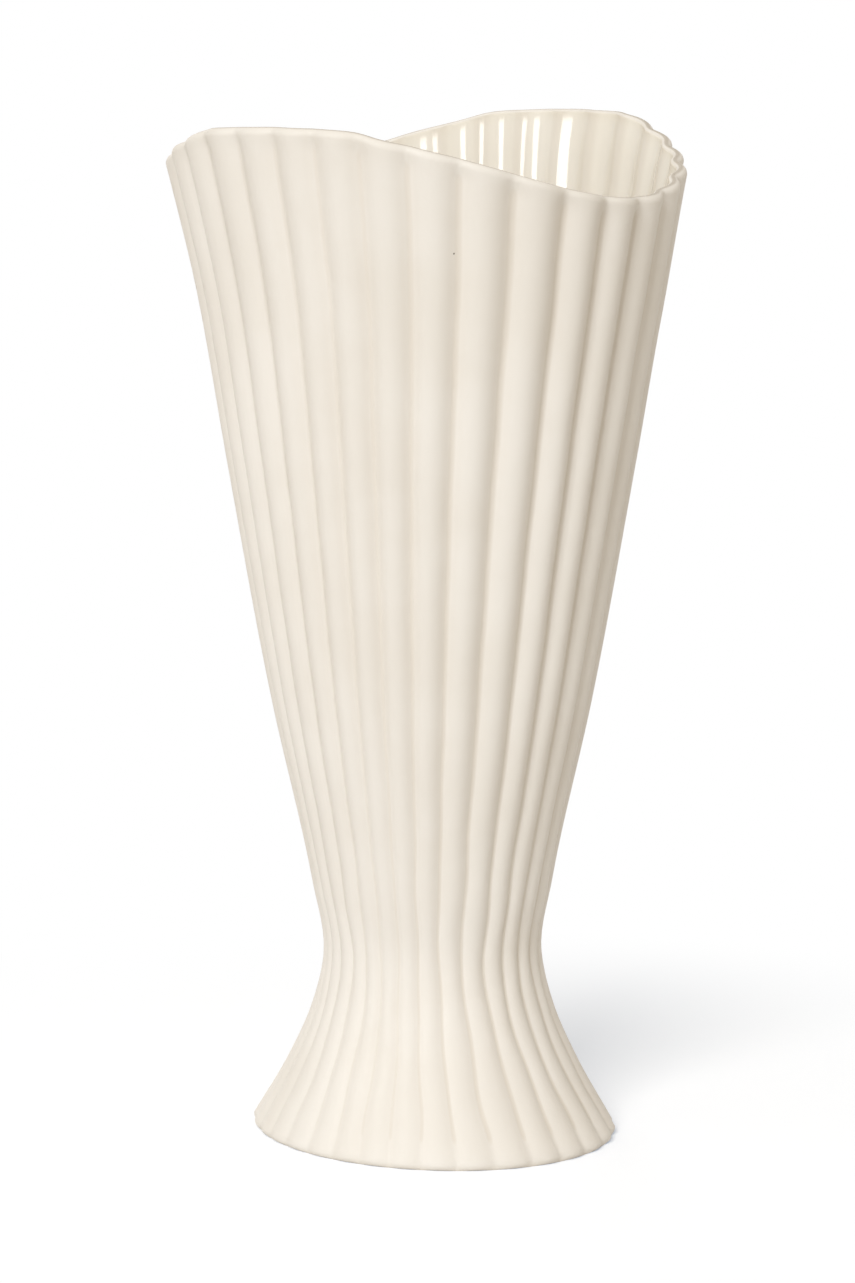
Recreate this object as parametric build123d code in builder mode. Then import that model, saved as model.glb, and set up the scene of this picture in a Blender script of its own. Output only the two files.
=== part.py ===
from build123d import *
import os
from math import cos, pi, sin

# Fan vase: a reeded oval cup with a saddle-shaped lip, joined to a flared foot
# Millimetres, +Z up, origin on the table under the middle of the foot
# X runs along the oval, through the two dips of the lip; Y across it, through the two peaks

# Outer wall, from the table up: height, half the length along X, half the width along Y
toe_height = 1.8
toe_half_length, toe_half_width = 56.8, 48.9
toe_bevel = 0.6
instep_height = 20.0
instep_half_length, instep_half_width = 45.0, 41.0
ankle_height = 36.0
ankle_half_length, ankle_half_width = 37.1, 35.3
waist_height = 55.0
waist_half_length, waist_half_width = 32.4, 32.4
cup_base_height = 76.0
cup_base_half_length, cup_base_half_width = 35.7, 35.7
belly_height = 130.0
belly_half_length, belly_half_width = 47.9, 46.2
shoulder_height = 200.0
shoulder_half_length, shoulder_half_width = 61.6, 56.6
flare_height = 250.0
flare_half_length, flare_half_width = 71.3, 63.1
mouth_half_length, mouth_half_width = 85.7, 73.0

# Lip: a saddle through this height on the axis, rising by the wave at the stated distance from it
rim_height = 290.5
rim_wave = 10.5
rim_wave_radius = 75.0
rim_allowance = 6.0

# Reeds: equal in number from foot to lip, a little wider at the ends of the oval
reed_count = 32
reed_spread_share = 0.07
toe_reed_depth = 0.5
foot_reed_depth = 0.9
waist_reed_depth = 0.9
belly_reed_depth = 1.5
mouth_reed_depth = 2.2
inside_reed_share = 0.45

# Walls and floor
cup_wall = 4.2
lip_wall = 3.2
floor_height = 54.0
floor_bevel = 4.0
foot_wall = 5.0
foot_rim_width = 7.0

# Joint between cup and foot: a ring of joining slip, bedded in the foot's flat top
joint_height = 46.0
slip_thickness = 0.8
slip_width = 4.0
slip_margin = 1.2
throat_radius = 25.0

# Glaze inside the cup, stopping short of the lip
glaze_thickness = 0.4
glaze_setback = 2.5

# Sections that a wall is drawn through, closer together towards its lower end
outer_sections = 26
inner_sections = 22
crowding_share = 1.3

overrun = 2.0
mouth_height = rim_height + rim_wave + rim_allowance

# The outer wall's stations: height, half length, half width, reed depth
stations = [
    (toe_height, toe_half_length, toe_half_width, toe_reed_depth),
    (instep_height, instep_half_length, instep_half_width, foot_reed_depth),
    (ankle_height, ankle_half_length, ankle_half_width, foot_reed_depth),
    (waist_height, waist_half_length, waist_half_width, waist_reed_depth),
    (cup_base_height, cup_base_half_length, cup_base_half_width, waist_reed_depth),
    (belly_height, belly_half_length, belly_half_width, belly_reed_depth),
    (shoulder_height, shoulder_half_length, shoulder_half_width, mouth_reed_depth),
    (flare_height, flare_half_length, flare_half_width, mouth_reed_depth),
    (mouth_height, mouth_half_length, mouth_half_width, mouth_reed_depth),
]


def station_slope(place, column):
    """Slope of the wall's line at a station, from the stations beside it."""
    below = stations[max(place - 1, 0)]
    above = stations[min(place + 1, len(stations) - 1)]
    here = stations[place]
    if below is here or above is here:
        return (above[column] - below[column]) / (above[0] - below[0])
    slope_below = (here[column] - below[column]) / (here[0] - below[0])
    slope_above = (above[column] - here[column]) / (above[0] - here[0])
    share = (here[0] - below[0]) / (above[0] - below[0])
    return slope_below + (slope_above - slope_below) * share


def wall_at(height):
    """Half length, half width and reed depth of the outer wall, on a smooth line through the stations."""
    place = 0
    while place < len(stations) - 2 and stations[place + 1][0] <= height:
        place += 1
    lower, upper = stations[place], stations[place + 1]
    step = upper[0] - lower[0]
    u = (height - lower[0]) / step
    values = []
    for column in (1, 2, 3):
        start = (1 + 2 * u) * lower[column] + u * step * station_slope(place, column)
        end = (3 - 2 * u) * upper[column] - (1 - u) * step * station_slope(place + 1, column)
        values.append((1 - u) ** 2 * start + u**2 * end)
    return values


def section_heights(low, high, count):
    """Heights of a wall's sections, crowded towards the low end."""
    return [low + (high - low) * (number / count) ** crowding_share for number in range(count + 1)]


def reed_angle(step):
    """Angle round the oval of a groove (whole step) or of a reed's crest (half step)."""
    even = 2 * pi * step / reed_count
    return even + reed_spread_share * sin(2 * even)


def oval_point(half_length, half_width, step):
    angle = reed_angle(step)
    return (half_length * cos(angle), half_width * sin(angle))


def reeded_oval(height, half_length, half_width, depth):
    """A level section of the wall: one convex arc for each reed, meeting in sharp grooves."""
    with BuildSketch(Plane.XY.offset(height)) as section:
        with BuildLine():
            for reed in range(reed_count):
                ThreePointArc(
                    oval_point(half_length - depth, half_width - depth, reed),
                    oval_point(half_length, half_width, reed + 1 / 2),
                    oval_point(half_length - depth, half_width - depth, reed + 1),
                )
        make_face()
    return section.sketch


def inner_oval(height, skin, inset):
    """A level section of the cup's inside, held in from the clay wall by a skin of glaze."""
    half_length, half_width, depth = wall_at(height)
    rise_share = (height - floor_height) / (mouth_height - floor_height)
    wall = cup_wall + (lip_wall - cup_wall) * rise_share + skin + inset
    return reeded_oval(height, half_length - wall, half_width - wall, depth * inside_reed_share)


def saddle_face(side, drop):
    """One end of the block above the lip: its lower edge tilts one way or the other with side."""
    reach = mouth_half_length + overrun
    rise = 2 * rim_wave * (reach / rim_wave_radius) ** 2
    along = Vector(1, 1, 0).normalized()
    across = Vector(-1, 1, 0).normalized()
    base = rim_height - drop
    with BuildSketch(Plane(along * (side * reach), x_dir=across, z_dir=along)) as face:
        with BuildLine():
            Polyline(
                (-reach, base - side * rise),
                (reach, base + side * rise),
                (reach, mouth_height + rise),
                (-reach, mouth_height + rise),
                close=True,
            )
        make_face()
    return face.sketch


def hollow_sections(skin):
    """Sections of the cup's inside, above the bevel round its floor."""
    low = floor_height + floor_bevel
    return [inner_oval(height, skin, 0) for height in section_heights(low, mouth_height, inner_sections)]


# Outer form of the whole vase, before the lip is cut and the foot parted
toe_sole = reeded_oval(0, toe_half_length - toe_bevel, toe_half_width - toe_bevel, toe_reed_depth)
outer_wall = [
    reeded_oval(height, *wall_at(height))
    for height in section_heights(toe_height, mouth_height, outer_sections)
]
with BuildPart() as blank:
    loft(outer_wall)
    loft([toe_sole, outer_wall[0]], ruled=True)

# Space inside the cup, up to its mouth
clay_inside = hollow_sections(0)
with BuildPart() as cup_hollow:
    loft(clay_inside)
    loft([inner_oval(floor_height, 0, floor_bevel), clay_inside[0]], ruled=True)

# Space inside the glaze
glaze_inside = hollow_sections(glaze_thickness)
glaze_floor = floor_height + glaze_thickness
with BuildPart() as glaze_hollow:
    loft(glaze_inside)
    loft([inner_oval(glaze_floor, glaze_thickness, floor_bevel), glaze_inside[0]], ruled=True)

# Cup: reeded wall, solid floor and saddle-shaped lip
with BuildPart() as fluted_cup:
    add(blank.part)
    split(bisect_by=Plane.XY.offset(joint_height), keep=Keep.TOP)
    add(cup_hollow.part, mode=Mode.SUBTRACT)
    loft([saddle_face(-1, 0), saddle_face(1, 0)], ruled=True, mode=Mode.SUBTRACT)

# Glaze: a thin glossy coat over the cup's floor and wall
with BuildPart() as glaze_lining:
    add(cup_hollow.part)
    add(glaze_hollow.part, mode=Mode.SUBTRACT)
    loft(
        [saddle_face(-1, glaze_setback), saddle_face(1, glaze_setback)],
        ruled=True,
        mode=Mode.SUBTRACT,
    )

# Hollow under the foot: a plain oval bell that narrows to a round throat
with BuildPart() as foot_hollow:
    with BuildSketch():
        Ellipse(
            toe_half_length - toe_bevel - foot_rim_width,
            toe_half_width - toe_bevel - foot_rim_width,
        )
    with BuildSketch(Plane.XY.offset(instep_height)):
        Ellipse(instep_half_length - foot_wall, instep_half_width - foot_wall)
    with BuildSketch(Plane.XY.offset(ankle_height)):
        Ellipse(ankle_half_length - foot_wall, ankle_half_width - foot_wall)
    with BuildSketch(Plane.XY.offset(joint_height)):
        Circle(throat_radius)
    loft()

# Joining slip: a thin ring in a shallow bed that was scored for it
with BuildPart() as joining_slip:
    with BuildSketch(Plane.XY.offset(joint_height - slip_thickness)):
        Circle(throat_radius + slip_margin + slip_width)
        Circle(throat_radius + slip_margin, mode=Mode.SUBTRACT)
    extrude(amount=slip_thickness)

# Foot: a flared skirt with a flat ring to stand on and a flat top for the joint
with BuildPart() as pedestal_foot:
    add(blank.part)
    split(bisect_by=Plane.XY.offset(joint_height), keep=Keep.BOTTOM)
    add(foot_hollow.part, mode=Mode.SUBTRACT)
    add(joining_slip.part, mode=Mode.SUBTRACT)

os.makedirs("parts", exist_ok=True)
fluted_cup.part.label = "fluted_cup"
export_step(fluted_cup.part, "parts/fluted_cup.step")
glaze_lining.part.label = "glaze_lining"
export_step(glaze_lining.part, "parts/glaze_lining.step")
pedestal_foot.part.label = "pedestal_foot"
export_step(pedestal_foot.part, "parts/pedestal_foot.step")
joining_slip.part.label = "joining_slip"
export_step(joining_slip.part, "parts/joining_slip.step")
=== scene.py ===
"""Fan vase: a reeded stoneware cup with a saddle-shaped lip, on a flared foot, glazed inside."""

from math import cos, pi, radians, sin

import bpy
import numpy as np
from mathutils import Matrix, Vector

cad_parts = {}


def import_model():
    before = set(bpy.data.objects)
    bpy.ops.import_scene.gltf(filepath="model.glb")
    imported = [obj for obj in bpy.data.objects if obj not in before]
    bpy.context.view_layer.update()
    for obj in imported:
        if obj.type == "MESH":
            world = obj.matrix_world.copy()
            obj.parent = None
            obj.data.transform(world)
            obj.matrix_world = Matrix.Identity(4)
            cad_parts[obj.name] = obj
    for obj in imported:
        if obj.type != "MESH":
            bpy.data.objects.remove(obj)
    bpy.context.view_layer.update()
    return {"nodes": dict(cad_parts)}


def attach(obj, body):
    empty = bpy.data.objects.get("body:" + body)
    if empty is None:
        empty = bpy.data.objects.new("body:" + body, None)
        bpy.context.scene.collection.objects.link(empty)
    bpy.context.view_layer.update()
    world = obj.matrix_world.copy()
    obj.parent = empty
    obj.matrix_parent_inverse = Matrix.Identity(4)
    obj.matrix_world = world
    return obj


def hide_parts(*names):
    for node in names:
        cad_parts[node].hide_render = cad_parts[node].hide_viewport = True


# Metres, +Z up, origin on the table under the middle of the foot, as in the CAD source.
# X runs along the oval mouth, through the dips of the lip; Y across it, through its peaks.

# Outer wall, from the table up: height, half length, half width, reed depth.
STATIONS = np.array(
    [
        (0.0018, 0.0568, 0.0489, 0.0008),
        (0.0200, 0.0450, 0.0410, 0.0008),
        (0.0360, 0.0371, 0.0353, 0.0008),
        (0.0550, 0.0324, 0.0324, 0.0009),
        (0.0760, 0.0357, 0.0357, 0.0010),
        (0.1300, 0.0479, 0.0462, 0.0017),
        (0.2000, 0.0616, 0.0566, 0.0024),
        (0.2500, 0.0713, 0.0631, 0.0024),
        (0.3070, 0.0857, 0.0730, 0.0024),
    ]
)
TOE_HEIGHT = STATIONS[0, 0]
MOUTH_HEIGHT = STATIONS[-1, 0]

# Toe: how far its ring and its rounding stand in, the height over which the painted shade in the
# grooves comes in above it, and the share of that painted shade on the rounding.
TOE_INSET = 0.0006
TOE_ROUNDING = TOE_INSET * 2
TOE_SHADE_FADE = 0.009
TOE_SHADE_TONE = 0.5

# Rim: a wave round the oval whose peaks are flat, with a shoulder on each side. It is a little
# higher at one end, and a stretch between that end and one peak is eased down.
RIM_HEIGHT = 0.2893
RIM_WAVE = 0.0106
RIM_WAVE_TURN = 0.036
RIM_FLATNESS = 0.0005
RIM_SHOULDER, SHOULDER_PLACE, SHOULDER_REACH = 0.0009, 0.80, 0.10
RIM_TILT = 0.0011
RIM_EASE, EASE_PLACE, EASE_REACH = 0.0013, 0.82, 0.18

# Lip: rounded over widely outside and tightly inside. The reeds grow shallow towards it, and a
# darker line runs along it, which comes in and ends over these shares of the way across.
LIP_OUTSIDE = 0.0024
LIP_INSIDE = 0.0007
LIP_CROWN = 0.68
LIP_FADE = 0.0065
LIP_REED_SHARE = 0.58
LIP_LINE_STARTS, LIP_LINE_ENDS = (0.34, 0.44), (0.58, 0.76)

# Mouth: over this stretch of height it grows a little narrower than the even flare, and leans to
# one side.
MOUTH_SPAN = (0.243, 0.300)
MOUTH_INSET = 0.00075
MOUTH_LEAN = (0.00115, 0.00089)

# Reeds.
REED_COUNT = 32
REED_SPREAD = 0.07
# Depth of the outer reeds at one end of the oval, as a share of the mean, and how much deeper they
# are at the other.
REED_LEAST, REED_BIAS = 0.88, 0.50
# Sideways stray of the reeds, as hand work leaves it on the foot and round the waist: wave length
# in metres, waves round the oval, and size in reeds. It grows and calms over stretches of height,
# and a share of it is left above.
REED_SWAYS = ((0.043, 7, 0.036), (0.026, -11, 0.022))
SWAY_GROWS, SWAY_CALMS, SWAY_LEFT = (0.002, 0.014), (0.060, 0.125), 0.15
# Uneven reeds: place round the oval, sideways shift and reach, all counted in reeds.
REED_DRIFTS = ((30.0, 0.14, 1.3), (21.6, -0.10, 1.2))
GROOVE_CREASE = 0.80
INSIDE_REED_SHARE = 0.62
INSIDE_CREASE = 0.55

# Walls, the cup's floor, glaze, joint and foot.
CUP_WALL = 0.0042
LIP_WALL = 0.0032
CUP_FLOOR = 0.054
CUP_BEVEL = 0.004
GLAZE = 0.0004
GLAZE_EDGE = 0.00008
GLAZE_TAPER = 0.012
GLAZE_DULL = 0.0042
JOINT_HEIGHT = 0.046
THROAT_RADIUS = 0.025
SLIP_INNER, SLIP_OUTER, SLIP_DEPTH = 0.0262, 0.0302, 0.0008
FOOT_WALL = 0.005
FOOT_RIM = 0.007

# Mesh: columns in a reed, closer together in the groove, and rows of each stretch. The powers
# crowd rows towards the lip.
REED_COLUMNS = 12
GROOVE_CROWDING = 0.6
CUP_ROWS, CUP_POWER = 90, 1.35
INSIDE_ROWS, INSIDE_POWER = 72, 1.5
FOOT_ROWS = 34
LIP_ROWS = 18
HIDDEN_ROWS = 18
BEND_ROWS = 6
FLAT_ROWS = 5
# Edges of the glaze that fold more than this are sharp.
GLAZE_FOLD = radians(80)
# Steps round the oval, in reeds, and up the wall, across which its normals are measured.
NORMAL_TURN, NORMAL_RISE = 0.01, 0.0002
# What the materials read from the mesh: groove, which carries painted shade, darker or duller lip,
# and bare clay.
MARKS = ("groove", "lip", "bare")

# Camera, fitted to the photograph, and its picture size in pixels.
PICTURE_HEIGHT = 1283
CAMERA_FOCUS = 4588.4
CAMERA_AZIMUTH = radians(37.94)
CAMERA_PITCH = radians(9.112)
CAMERA_ROLL = -0.0046
CAMERA_DISTANCE = 1.3315
CAMERA_HEIGHT = 0.3599
CAMERA_SHIFT_LEFT = 0.0011
SENSOR_WIDTH = 36.0

# Colours, linear.
CLAY_LIGHT = (0.800, 0.742, 0.670, 1.0)
CLAY_DARK = (0.770, 0.708, 0.630, 1.0)
# Painted shade, laid in the clay's grooves and along the glaze's groove lines.
GROOVE_SHADE = (0.660, 0.580, 0.480, 1.0)
CLAY_LIP = (0.480, 0.415, 0.335, 1.0)
CLAY_BARE = (0.640, 0.560, 0.450, 1.0)
CLAY_SPECK = (0.120, 0.085, 0.060, 1.0)
GLAZE_LIGHT = (0.830, 0.770, 0.670, 1.0)
GLAZE_POOL = (0.770, 0.700, 0.590, 1.0)
SLIP_LIGHT = (0.640, 0.560, 0.450, 1.0)
SLIP_DARK = (0.560, 0.480, 0.380, 1.0)
FLOOR_PALE = (0.780, 0.780, 0.780, 1.0)
FLOOR_SEEN = (0.970, 0.870, 0.750, 1.0)
FLOOR_LIFT = (0.095, 0.201, 0.338, 1.0)
AMBIENT_COLOUR = (1.0, 0.92, 0.78, 1.0)
WHITE = (1.0, 1.0, 1.0, 1.0)

# Materials: a noise has a scale and a detail, a bump a depth and a strength. A range is the part of
# a noise or mark that is spread out, a tone the share of a colour that is mixed in.
CLOUD_RANGE = (0.35, 0.65)
GRAIN_RANGE = (0.3, 0.7)
CLAY_CLOUDS = (22.0, 4.0)
CLAY_GRAIN, CLAY_GRAIN_BUMP = (900.0, 3.0), (0.00004, 0.5)
CLAY_DIMPLES, CLAY_DIMPLE_BUMP = (160.0, 3.0), (0.0002, 0.35)
# Painted shade in the clay's grooves: the part of the groove mark that is spread out, and its share.
CLAY_GROOVE_SHADE_RANGE, CLAY_GROOVE_SHADE_TONE = (0.88, 1.12), 0.5
CLAY_LIP_TONE = 0.85
CLAY_ROUGHNESS = (0.48, 0.62)
CLAY_IOR = 1.48
# Specks: cells to the metre, size and the part of it that is full; the share of cells with one, and
# how sharply it is cut.
SPECK_CELLS, SPECK_SIZE, SPECK_FULL = 70.0, 0.0004, 0.6
SPECKS_KEPT, SPECK_CUT = 0.35, 0.01
GLAZE_CLOUDS, GLAZE_CLOUD_TONE = (30.0, 3.0), 0.5
# Painted shade along the glaze's groove lines: the part of the groove mark that is spread out, and
# its share.
GLAZE_GROOVE_SHADE_RANGE, GLAZE_GROOVE_SHADE_TONE = (0.45, 1.0), 0.35
GLAZE_MOTTLE, GLAZE_ROUGHNESS = (60.0, 2.0), (0.07, 0.12)
GLAZE_RIPPLE, GLAZE_RIPPLE_BUMP = (28.0, 0.0), (0.0004, 0.2)
GLAZE_GLOSS = 0.5
GLAZE_IOR = 1.6
SLIP_GRAIN, SLIP_GRAIN_BUMP = (400.0, 3.0), (0.0001, 0.5)
SLIP_ROUGHNESS = (0.7, 0.85)

# Studio: a round floor that whitens over this stretch from the axis, the surround, and the point
# that the lamps aim at.
FLOOR_RADIUS = 0.75
FLOOR_SIDES = 96
FLOOR_WHITENS = (0.07, 0.27)
AMBIENT = 0.56
AIM = Vector((0, 0, 0.17))
LAMP_DISTANCE = 4.0
# Lamps: angle to the left of the camera, angle above the floor, width, height, power, colour, and
# whether it only gleams in gloss; the others light the vase and don't show in its glaze.
LAMPS = {
    "key": (20, 35, 1.7, 1.5, 121.0, (0.83, 0.895, 0.975), False),
    "back": (158, 8, 2.0, 1.6, 46.0, (0.90, 0.95, 1.0), False),
    "strip": (42, 16, 1.5, 1.4, 44.0, (1.0, 1.0, 1.0), True),
}


# Form


def wall_at(height):
    """The outer wall's half length, half width and reed depth, smooth through the stations."""
    height = np.asarray(height, float)
    level, sizes = STATIONS[:, 0], STATIONS[:, 1:]
    chord = np.diff(sizes, axis=0) / np.diff(level)[:, None]
    share = np.diff(level)[:-1, None] / (level[2:] - level[:-2])[:, None]
    slope = np.vstack([chord[:1], chord[:-1] + (chord[1:] - chord[:-1]) * share, chord[-1:]])
    place = np.clip(np.searchsorted(level, height, side="right") - 1, 0, len(level) - 2)
    step = (level[place + 1] - level[place])[..., None]
    u = (height - level[place])[..., None] / step
    start = (1 + 2 * u) * sizes[place] + u * step * slope[place]
    end = (3 - 2 * u) * sizes[place + 1] - (1 - u) * step * slope[place + 1]
    wall = (1 - u) ** 2 * start + u**2 * end
    return wall[..., 0], wall[..., 1], wall[..., 2]


def reed_steps():
    """Place of each column round the oval, counted in reeds; a groove lies at each whole number."""
    even = np.arange(REED_COUNT * REED_COLUMNS) / REED_COLUMNS
    return even - GROOVE_CROWDING * np.sin(2 * pi * even) / (2 * pi)


def reed_angle(step):
    """Angle round the oval: the reeds are wider at its ends, and a few sit a little to one side."""
    for middle, shift, reach in REED_DRIFTS:
        away = (step - middle + REED_COUNT / 2) % REED_COUNT - REED_COUNT / 2
        step = step + shift * np.exp(-((away / reach) ** 2))
    even = 2 * pi * step / REED_COUNT
    return even + REED_SPREAD * np.sin(2 * even)


def groove_share(step, crease):
    """How far into a groove a place lies, rounded past the crease: 0 on a crest, 1 at the bottom."""
    v = np.abs(2 * (step - np.floor(step)) - 1)
    past = np.maximum(v - crease, 0)
    rounding = 2 * crease * past - crease / (1 - crease) * past**2
    return (np.minimum(v, crease) ** 2 + rounding) / crease


def outer_groove(step):
    """The same for the outer reeds, counted in the mean depth."""
    deeper = (0.5 + 0.5 * np.cos(reed_angle(step))) ** 2
    return groove_share(step, GROOVE_CREASE) * REED_LEAST * (1 + REED_BIAS * deeper)


def smooth(low, high, value):
    """0 below low, 1 above high, and a smooth rise between."""
    t = np.clip((value - low) / (high - low), 0, 1)
    return t * t * (3 - 2 * t)


def sway(step, height):
    """How far hand work lets the reeds stray sideways at a height, counted in reeds."""
    turn = 2 * pi * step / REED_COUNT
    stray = sum(
        size * np.sin(2 * pi * height / length + count * turn)
        for length, count, size in REED_SWAYS
    )
    calm = 1 - (1 - SWAY_LEFT) * smooth(*SWAY_CALMS, height)
    return stray * smooth(*SWAY_GROWS, height) * calm


def oval_points(height, inset, step):
    """Points on the oval wall, moved in from its reeds' crests."""
    half_length, half_width, _ = wall_at(height)
    angle = reed_angle(step + sway(step, height))
    rise = smooth(*MOUTH_SPAN, height)
    inset = inset + MOUTH_INSET * rise
    x = (half_length - inset) * np.cos(angle) - MOUTH_LEAN[0] * rise
    y = (half_width - inset) * np.sin(angle) - MOUTH_LEAN[1] * rise
    return np.stack(np.broadcast_arrays(x, y, height), axis=-1)


def outer_wall(step, height):
    """Points on the reeded outer wall at one height."""
    inset = wall_at(height)[2] * outer_groove(step)
    return oval_points(np.full(step.shape, height), inset, step)


def lip_height(step):
    """Height of the lip's crown at each column."""
    angle = reed_angle(step)
    wave = -np.cos(2 * angle + RIM_WAVE_TURN)
    shoulder = np.exp(-(((wave - SHOULDER_PLACE) / SHOULDER_REACH) ** 2) / 2)
    height = RIM_HEIGHT + RIM_WAVE * wave + RIM_SHOULDER * shoulder
    height -= RIM_EASE * np.exp(-(((angle - EASE_PLACE) / EASE_REACH) ** 2) / 2)
    return height - RIM_FLATNESS * np.cos(4 * angle) + RIM_TILT * np.cos(angle)


def inner_inset(height):
    """Distance from the reeds' crests in to the clay's inside."""
    rise = (height - CUP_FLOOR) / (MOUTH_HEIGHT - CUP_FLOOR)
    return CUP_WALL + (LIP_WALL - CUP_WALL) * rise


# Rows of points, each with the marks that its material reads


STEPS = reed_steps()
LIP = lip_height(STEPS)
INNER_GROOVE = groove_share(STEPS, INSIDE_CREASE)
OUTER_GROOVE = outer_groove(STEPS)
# How strongly painted shade is laid in each outer groove, more on the side with the deeper reeds.
OUTER_SHADE_MARK = (OUTER_GROOVE + groove_share(STEPS, GROOVE_CREASE)) / 2


def shares(count):
    """Even shares of a stretch, from just after its start to its end."""
    return np.linspace(0, 1, count + 1)[1:]


def reed_fade(height):
    """Share of the outer reeds' depth that is left near the lip."""
    return LIP_REED_SHARE + (1 - LIP_REED_SHARE) * smooth(0, LIP_FADE, LIP - height)


def outer_row(height):
    """A row on the outer wall."""
    height = np.broadcast_to(height, STEPS.shape)
    groove = OUTER_GROOVE * reed_fade(height)
    # The groove mark carries painted shade, which fades towards the lip and the toe.
    mark = OUTER_SHADE_MARK * reed_fade(height) * smooth(0, TOE_SHADE_FADE, height)
    return oval_points(height, wall_at(height)[2] * groove, STEPS), {"groove": mark}


def inner_row(height, skin, extra=0.0):
    """A row on the cup's inside, held in from the clay by a skin of glaze."""
    height = np.broadcast_to(height, STEPS.shape)
    depth = wall_at(height)[2] * INSIDE_REED_SHARE
    inset = inner_inset(height) + skin + extra + depth * INNER_GROOVE
    dull = 1 - smooth(0, GLAZE_DULL, LIP - LIP_INSIDE - height)
    # The groove mark carries the glaze's painted shade along the lines of the outer grooves.
    return oval_points(height, inset, STEPS), {"groove": INNER_GROOVE, "lip": dull}


def lip_row(turn):
    """A row over the rounded lip: turn is 0 at the outer wall, a half at the crown, 1 inside."""
    drop = (LIP_OUTSIDE if turn < 0.5 else LIP_INSIDE) * (1 - sin(pi * turn))
    across = LIP_CROWN - cos(pi * turn) * (LIP_CROWN if turn < 0.5 else 1 - LIP_CROWN)
    height = LIP - drop
    depth = wall_at(height)[2]
    groove = OUTER_GROOVE * reed_fade(height)
    outside = depth * groove
    inside = inner_inset(height) + depth * INSIDE_REED_SHARE * INNER_GROOVE
    points = oval_points(height, outside + (inside - outside) * across, STEPS)
    line = smooth(*LIP_LINE_STARTS, turn) * (1 - smooth(*LIP_LINE_ENDS, turn))
    # The groove mark carries painted shade, which fades over the lip's crown.
    return points, {"groove": OUTER_SHADE_MARK * reed_fade(height) * (1 - across), "lip": line}


def shrunk_row(row, share, height):
    """A level row inside another one, nearer to the axis."""
    points = row[0] * share
    points[:, 2] = height
    return points, {}


def floor_rows(skin):
    """Rows from the foot of the cup's inner wall, round the bevel and in over the floor."""
    height = CUP_FLOOR + skin
    rows = []
    for turn in np.linspace(0, pi / 2, BEND_ROWS + 1)[1:]:
        drop = CUP_BEVEL * (1 - sin(turn))
        rows.append(inner_row(height + drop, skin, CUP_BEVEL * (1 - cos(turn))))
    return rows + [shrunk_row(rows[-1], 1 - n / FLAT_ROWS, height) for n in range(1, FLAT_ROWS)]


def plain_row(half_length, half_width, height, marks):
    """A level row on an oval."""
    angle = reed_angle(STEPS)
    x, y = half_length * np.cos(angle), half_width * np.sin(angle)
    return np.stack([x, y, np.full(STEPS.shape, height)], axis=-1), marks


# Meshes


def grid_mesh(name, rows, pole_low=None, pole_high=None):
    """A mesh through closed rows of equal length, ended by poles or joined into a ring."""
    count = len(STEPS)
    points = np.concatenate([row[0] for row in rows])
    here = np.arange(count)
    after = (here + 1) % count
    faces = []
    last = len(rows) - 1
    for number in range(len(rows) if pole_low is None else last):
        low, high = number * count, (number + 1) % len(rows) * count
        faces.extend(np.stack([low + here, low + after, high + after, high + here], 1).tolist())
    if pole_low is not None:
        points = np.vstack([points, pole_low, pole_high])
        low, high = len(points) - 2, len(points) - 1
        sides = list(zip(here.tolist(), after.tolist()))
        faces.extend([low, b, a] for a, b in sides)
        faces.extend([last * count + a, last * count + b, high] for a, b in sides)
    mesh = bpy.data.meshes.new(name)
    mesh.from_pydata(points.tolist(), [], faces)
    mesh.shade_smooth()
    for mark in MARKS:
        values = [np.broadcast_to(row[1].get(mark, 0.0), count) for row in rows]
        values = np.concatenate(values + [np.zeros(len(points) - len(rows) * count)])
        layer = mesh.attributes.new(mark, "FLOAT", "POINT")
        layer.data.foreach_set("value", values.astype(np.float32))
    return mesh


def level_joint(mesh, row):
    """Gives a joint's row the wall's own normals, so that the two clay pieces shade as one."""
    count = len(STEPS)
    turn, rise = NORMAL_TURN, NORMAL_RISE
    along = outer_wall(STEPS + turn, JOINT_HEIGHT) - outer_wall(STEPS - turn, JOINT_HEIGHT)
    up = outer_wall(STEPS, JOINT_HEIGHT + rise) - outer_wall(STEPS, JOINT_HEIGHT - rise)
    normal = np.cross(along, up)
    normal /= np.linalg.norm(normal, axis=1)[:, None]
    normals = np.zeros((len(mesh.vertices), 3))
    normals[row * count : (row + 1) * count] = normal
    mesh.normals_split_custom_set_from_vertices(normals.tolist())


def place(name, mesh, material, slot, node):
    """Puts a mesh in the scene as a piece that stands for a CAD node."""
    piece = bpy.data.objects.new(name, mesh)
    bpy.context.scene.collection.objects.link(piece)
    mesh.materials.append(material)
    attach(piece, "root")
    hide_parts(node)


def build_cup(material):
    """The cup's clay: its base, the reeded wall, the lip, the inside and the floor."""
    wall = outer_row(JOINT_HEIGHT)
    rows = [shrunk_row(wall, n / FLAT_ROWS, JOINT_HEIGHT) for n in range(1, FLAT_ROWS)]
    joint_row = len(rows)
    rows.append(wall)
    top = LIP - LIP_OUTSIDE
    for share in shares(CUP_ROWS):
        climb = 1 - (1 - share) ** CUP_POWER
        rows.append(outer_row(JOINT_HEIGHT + (top - JOINT_HEIGHT) * climb))
    rows += [lip_row(turn) for turn in shares(LIP_ROWS)]
    top = LIP - LIP_INSIDE
    low = CUP_FLOOR + CUP_BEVEL
    rows += [inner_row(top + (low - top) * share, 0) for share in shares(HIDDEN_ROWS)]
    rows += floor_rows(0)
    mesh = grid_mesh("cup_clay", rows, (0, 0, JOINT_HEIGHT), (0, 0, CUP_FLOOR))
    level_joint(mesh, joint_row)
    place("cup_clay", mesh, material, "matte_stoneware", "fluted_cup")


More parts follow.
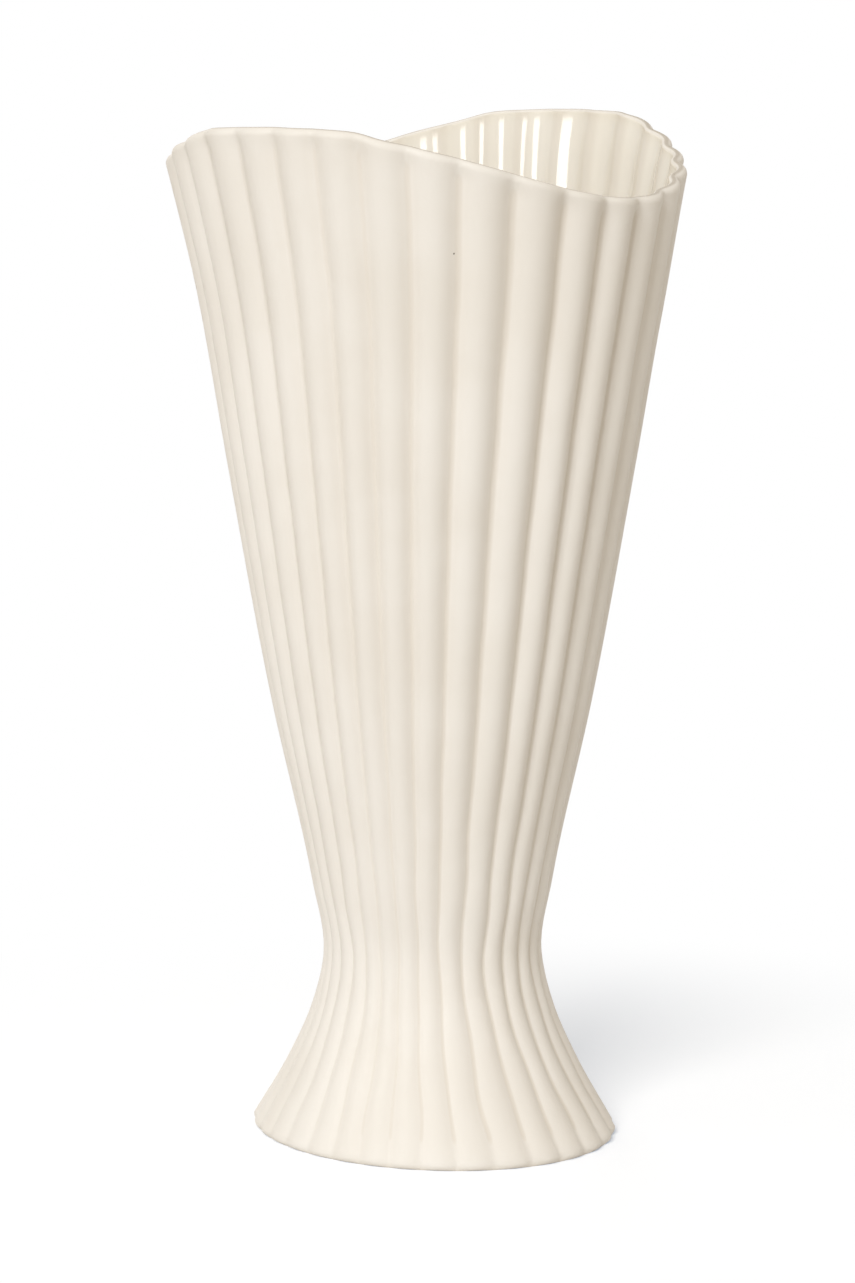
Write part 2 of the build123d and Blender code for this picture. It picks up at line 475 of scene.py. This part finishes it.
def build_glaze(material):
    """The glaze: a skin over the cup's floor and wall that thins out at the lip."""
    top = LIP - LIP_INSIDE
    low = CUP_FLOOR + CUP_BEVEL
    rows = floor_rows(0)[::-1]
    for share in np.linspace(0, 1, HIDDEN_ROWS + 1):
        rows.append(inner_row(low + (top - low) * share, 0))
    for share in np.linspace(0, 1, INSIDE_ROWS + 1):
        height = top + (low + GLAZE - top) * share**INSIDE_POWER
        skin = GLAZE_EDGE + (GLAZE - GLAZE_EDGE) * smooth(0, GLAZE_TAPER, top - height)
        rows.append(inner_row(height, skin))
    rows += floor_rows(GLAZE)
    mesh = grid_mesh("cup_glaze", rows, (0, 0, CUP_FLOOR), (0, 0, CUP_FLOOR + GLAZE))
    mesh.set_sharp_from_angle(angle=GLAZE_FOLD)
    place("cup_glaze", mesh, material, "gloss_glaze", "glaze_lining")


def bell_rows():
    """The foot's plain hollow, from its throat down to the ring that it stands on."""
    rows = []
    sole_length, sole_width = STATIONS[0, 1:3] - TOE_INSET - FOOT_RIM
    for height in np.linspace(JOINT_HEIGHT, 0, FOOT_ROWS):
        half_length, half_width, _ = wall_at(max(height, TOE_HEIGHT))
        share = smooth(0.0, STATIONS[1, 0], height)
        half_length = sole_length + (half_length - FOOT_WALL - sole_length) * share
        half_width = sole_width + (half_width - FOOT_WALL - sole_width) * share
        narrow = smooth(STATIONS[2, 0], JOINT_HEIGHT, height)
        half_length += (THROAT_RADIUS - half_length) * narrow
        half_width += (THROAT_RADIUS - half_width) * narrow
        rows.append(plain_row(half_length, half_width, height, {"bare": 1.0}))
    return rows


def toe_rows():
    """The flat ring and the rounded toe, out to the wall."""
    toe_length, toe_width, depth = STATIONS[0, 1:]
    rows = []
    for share in np.linspace(0, 1, BEND_ROWS)[1:]:
        inset = TOE_ROUNDING + FOOT_RIM * (1 - share)
        rows.append(plain_row(toe_length - inset, toe_width - inset, 0.0, {"bare": 1.0}))
    for turn in np.linspace(0, pi / 2, BEND_ROWS)[1:]:
        inset = TOE_ROUNDING * (1 - sin(turn)) + depth * OUTER_GROOVE * sin(turn)
        height = TOE_HEIGHT * (1 - cos(turn))
        # The groove mark carries painted shade, and a share of it is laid on the rounding.
        marks = {"bare": 1 - sin(turn), "groove": OUTER_SHADE_MARK * sin(turn) * TOE_SHADE_TONE}
        rows.append(plain_row(toe_length - inset, toe_width - inset, height, marks))
    return rows


def build_foot(material):
    """The foot's clay: its hollow, ring, toe and wall, and the groove that the slip lies in."""
    rows = bell_rows() + toe_rows()
    for share in shares(FOOT_ROWS):
        rows.append(outer_row(TOE_HEIGHT + (JOINT_HEIGHT - TOE_HEIGHT) * share))
    joint_row = len(rows) - 1
    bed = JOINT_HEIGHT - SLIP_DEPTH
    for radius, height in (
        (SLIP_OUTER, JOINT_HEIGHT),
        (SLIP_OUTER, bed),
        (SLIP_INNER, bed),
        (SLIP_INNER, JOINT_HEIGHT),
    ):
        rows.append(plain_row(radius, radius, height, {"bare": 1.0}))
    mesh = grid_mesh("foot_clay", rows)
    level_joint(mesh, joint_row)
    place("foot_clay", mesh, material, "matte_stoneware", "pedestal_foot")


# Materials


class Nodes:
    """The node tree of a material or world, with short calls to add and link nodes."""

    # Sockets of the mix node that hold colours; each of its kinds of value has its own.
    MIX_FIRST, MIX_SECOND, MIX_RESULT = 6, 7, 2

    def __init__(self, owner):
        self.owner = owner
        owner.use_nodes = True
        self.tree = owner.node_tree
        self.tree.nodes.clear()

    def add(self, kind, **settings):
        node = self.tree.nodes.new(kind)
        for key, value in settings.items():
            setattr(node, key, value)
        return node

    def link(self, source, target):
        self.tree.links.new(source, target)

    def coordinates(self):
        return self.add("ShaderNodeTexCoord").outputs["Object"]

    def noise(self, place, scale, detail):
        node = self.add("ShaderNodeTexNoise")
        node.inputs["Scale"].default_value = scale
        node.inputs["Detail"].default_value = detail
        self.link(place, node.inputs["Vector"])
        return node.outputs["Fac"]

    def mark(self, name):
        return self.add("ShaderNodeAttribute", attribute_name=name).outputs["Fac"]

    def spread(self, value, low, high, start=0.0, end=1.0):
        """A smooth change from start to end as the value goes from low to high."""
        node = self.add("ShaderNodeMapRange", interpolation_type="SMOOTHSTEP")
        node.inputs["From Min"].default_value = low
        node.inputs["From Max"].default_value = high
        node.inputs["To Min"].default_value = start
        node.inputs["To Max"].default_value = end
        self.link(value, node.inputs["Value"])
        return node.outputs["Result"]

    def times(self, first, second):
        node = self.add("ShaderNodeMath", operation="MULTIPLY")
        for socket, value in zip(node.inputs, (first, second)):
            if isinstance(value, float):
                socket.default_value = value
            else:
                self.link(value, socket)
        return node.outputs["Value"]

    def mix(self, share, first, second):
        node = self.add("ShaderNodeMix", data_type="RGBA")
        self.link(share, node.inputs["Factor"])
        for number, colour in ((self.MIX_FIRST, first), (self.MIX_SECOND, second)):
            if isinstance(colour, tuple):
                node.inputs[number].default_value = colour
            else:
                self.link(colour, node.inputs[number])
        return node.outputs[self.MIX_RESULT]

    def bump(self, height, distance, strength, below=None):
        node = self.add("ShaderNodeBump")
        node.inputs["Strength"].default_value = strength
        node.inputs["Distance"].default_value = distance
        self.link(height, node.inputs["Height"])
        if below is not None:
            self.link(below, node.inputs["Normal"])
        return node.outputs["Normal"]

    def specks(self, place):
        """Spots in a share of the cells of a loose lattice."""
        cells = self.add("ShaderNodeTexVoronoi", feature="F1")
        cells.inputs["Scale"].default_value = SPECK_CELLS
        self.link(place, cells.inputs["Vector"])
        size = SPECK_SIZE * SPECK_CELLS
        spot = self.spread(cells.outputs["Distance"], size * SPECK_FULL, size, 1.0, 0.0)
        chance = self.add("ShaderNodeSeparateColor")
        self.link(cells.outputs["Color"], chance.inputs["Color"])
        some = self.spread(chance.outputs["Red"], SPECKS_KEPT, SPECKS_KEPT + SPECK_CUT, 1.0, 0.0)
        return self.times(spot, some)

    def seen_directly(self):
        """1 for a camera, glossy or transmission ray, 0 for the rest."""
        path = self.add("ShaderNodeLightPath")
        value = path.outputs["Is Camera Ray"]
        for name in ("Is Glossy Ray", "Is Transmission Ray"):
            node = self.add("ShaderNodeMath", operation="MAXIMUM")
            self.link(value, node.inputs[0])
            self.link(path.outputs[name], node.inputs[1])
            value = node.outputs["Value"]
        return value

    def surface(self, colour, roughness, normal, ior=None, gloss=None):
        """The material, with these on its shader; what isn't given stays at the default."""
        shader = self.add("ShaderNodeBsdfPrincipled")
        if ior is not None:
            shader.inputs["IOR"].default_value = ior
        if gloss is not None:
            self.link(gloss, shader.inputs["Specular IOR Level"])
        self.link(colour, shader.inputs["Base Color"])
        self.link(roughness, shader.inputs["Roughness"])
        self.link(normal, shader.inputs["Normal"])
        out = self.add("ShaderNodeOutputMaterial")
        self.link(shader.outputs["BSDF"], out.inputs["Surface"])
        return self.owner


def stoneware():
    """Satin-matte cream stoneware with painted shade in the grooves, darker on the lip, with a few
    iron specks.
    """
    n = Nodes(bpy.data.materials.new("stoneware"))
    place = n.coordinates()
    cloud = n.spread(n.noise(place, *CLAY_CLOUDS), *CLOUD_RANGE)
    grain = n.noise(place, *CLAY_GRAIN)
    # Painted shade in the grooves.
    groove = n.times(n.spread(n.mark("groove"), *CLAY_GROOVE_SHADE_RANGE), CLAY_GROOVE_SHADE_TONE)
    colour = n.mix(cloud, CLAY_LIGHT, CLAY_DARK)
    colour = n.mix(groove, colour, GROOVE_SHADE)
    colour = n.mix(n.times(n.mark("lip"), CLAY_LIP_TONE), colour, CLAY_LIP)
    colour = n.mix(n.mark("bare"), colour, CLAY_BARE)
    colour = n.mix(n.specks(place), colour, CLAY_SPECK)
    roughness = n.spread(grain, *GRAIN_RANGE, *CLAY_ROUGHNESS)
    normal = n.bump(n.noise(place, *CLAY_DIMPLES), *CLAY_DIMPLE_BUMP)
    normal = n.bump(grain, *CLAY_GRAIN_BUMP, normal)
    return n.surface(colour, roughness, normal, CLAY_IOR)


def glaze():
    """Cream glaze: glossy, with a slow ripple, with painted shade between the ridges, and dull at
    the lip.
    """
    n = Nodes(bpy.data.materials.new("glaze"))
    place = n.coordinates()
    cloud = n.spread(n.noise(place, *GLAZE_CLOUDS), *CLOUD_RANGE)
    # Painted shade along the groove lines.
    groove = n.times(n.spread(n.mark("groove"), *GLAZE_GROOVE_SHADE_RANGE), GLAZE_GROOVE_SHADE_TONE)
    colour = n.mix(n.times(cloud, GLAZE_CLOUD_TONE), GLAZE_LIGHT, GLAZE_POOL)
    colour = n.mix(groove, colour, GROOVE_SHADE)
    roughness = n.spread(n.noise(place, *GLAZE_MOTTLE), *GRAIN_RANGE, *GLAZE_ROUGHNESS)
    normal = n.bump(n.noise(place, *GLAZE_RIPPLE), *GLAZE_RIPPLE_BUMP)
    gloss = n.spread(n.mark("lip"), 0.0, 1.0, GLAZE_GLOSS, 0.0)
    return n.surface(colour, roughness, normal, GLAZE_IOR, gloss)


def fired_slip():
    """Slip fired between the cup and the foot."""
    n = Nodes(bpy.data.materials.new("slip"))
    grain = n.noise(n.coordinates(), *SLIP_GRAIN)
    colour = n.mix(grain, SLIP_LIGHT, SLIP_DARK)
    roughness = n.spread(grain, *GRAIN_RANGE, *SLIP_ROUGHNESS)
    return n.surface(colour, roughness, n.bump(grain, *SLIP_GRAIN_BUMP))


def floor_white():
    """White floor that keeps the shadow: lifted to white where it is seen, all white far out."""
    n = Nodes(bpy.data.materials.new("floor_white"))
    seen = n.seen_directly()
    diffuse = n.add("ShaderNodeBsdfDiffuse")
    n.link(n.mix(seen, FLOOR_PALE, FLOOR_SEEN), diffuse.inputs["Color"])
    lift = n.add("ShaderNodeEmission")
    lift.inputs["Color"].default_value = FLOOR_LIFT
    n.link(seen, lift.inputs["Strength"])
    near = n.add("ShaderNodeAddShader")
    n.link(diffuse.outputs["BSDF"], near.inputs[0])
    n.link(lift.outputs["Emission"], near.inputs[1])
    reach = n.add("ShaderNodeVectorMath", operation="LENGTH")
    n.link(n.coordinates(), reach.inputs[0])
    white = n.add("ShaderNodeEmission")
    both = n.add("ShaderNodeMixShader")
    n.link(n.times(seen, n.spread(reach.outputs["Value"], *FLOOR_WHITENS)), both.inputs["Fac"])
    n.link(near.outputs["Shader"], both.inputs[1])
    n.link(white.outputs["Emission"], both.inputs[2])
    out = n.add("ShaderNodeOutputMaterial")
    n.link(both.outputs["Shader"], out.inputs["Surface"])
    return n.owner


# Studio


def view_frame():
    """Unit vectors to the right of the picture and away from the camera, both level."""
    right = Vector((cos(CAMERA_AZIMUTH), sin(CAMERA_AZIMUTH), 0))
    away = Vector((-sin(CAMERA_AZIMUTH), cos(CAMERA_AZIMUTH), 0))
    return right, away


def build_camera():
    """The photograph's camera."""
    right, away = view_frame()
    data = bpy.data.cameras.new("camera")
    data.sensor_width = SENSOR_WIDTH
    data.lens = SENSOR_WIDTH * CAMERA_FOCUS / PICTURE_HEIGHT
    camera = bpy.data.objects.new("camera", data)
    bpy.context.scene.collection.objects.link(camera)
    spot = -CAMERA_SHIFT_LEFT * right - CAMERA_DISTANCE * away + Vector((0, 0, CAMERA_HEIGHT))
    camera.matrix_world = (
        Matrix.Translation(spot)
        @ Matrix.Rotation(CAMERA_AZIMUTH, 4, "Z")
        @ Matrix.Rotation(pi / 2 - CAMERA_PITCH, 4, "X")
        @ Matrix.Rotation(CAMERA_ROLL, 4, "Z")
    )
    bpy.context.scene.camera = camera


def build_lamp(name, azimuth, elevation, width, height, power, colour, gleams):
    """A soft lamp, placed by its angle to the left of the camera and its angle above the floor."""
    right, away = view_frame()
    azimuth, elevation = radians(azimuth), radians(elevation)
    level = -cos(azimuth) * away - sin(azimuth) * right
    towards = cos(elevation) * level + sin(elevation) * Vector((0, 0, 1))
    data = bpy.data.lights.new(name, "AREA")
    data.shape = "RECTANGLE"
    data.size, data.size_y, data.energy, data.color = width, height, power, colour
    lamp = bpy.data.objects.new(name, data)
    bpy.context.scene.collection.objects.link(lamp)
    lamp.visible_glossy, lamp.visible_diffuse = gleams, not gleams
    lamp.location = AIM + towards * LAMP_DISTANCE
    lamp.rotation_euler = (-towards).to_track_quat("-Z", "Y").to_euler()


def build_floor():
    """The round floor that the vase stands on."""
    angle = np.linspace(0, 2 * pi, FLOOR_SIDES + 1)[:-1]
    edge = FLOOR_RADIUS * np.stack([np.cos(angle), np.sin(angle), 0 * angle], axis=-1)
    mesh = bpy.data.meshes.new("floor")
    mesh.from_pydata(edge.tolist(), [], [list(range(FLOOR_SIDES))])
    floor = bpy.data.objects.new("floor", mesh)
    bpy.context.scene.collection.objects.link(floor)
    mesh.materials.append(floor_white())


def build_world():
    """White where it is seen, warmer and dimmer as light on the vase."""
    world = bpy.data.worlds.new("studio")
    bpy.context.scene.world = world
    n = Nodes(world)
    seen = n.seen_directly()
    strength = n.add("ShaderNodeMapRange")
    strength.inputs["To Min"].default_value = AMBIENT
    n.link(seen, strength.inputs["Value"])
    background = n.add("ShaderNodeBackground")
    n.link(strength.outputs["Result"], background.inputs["Strength"])
    n.link(n.mix(seen, AMBIENT_COLOUR, WHITE), background.inputs["Color"])
    out = n.add("ShaderNodeOutputWorld")
    n.link(background.outputs["Background"], out.inputs["Surface"])


def main():
    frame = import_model()
    clay = stoneware()
    build_cup(clay)
    build_foot(clay)
    build_glaze(glaze())
    slip = frame["nodes"]["joining_slip"]
    slip.data.materials.clear()
    slip.data.materials.append(fired_slip())
    build_camera()
    for name, settings in LAMPS.items():
        build_lamp(name, *settings)
    build_floor()
    build_world()
    bpy.context.scene.view_settings.view_transform = "Standard"


main()
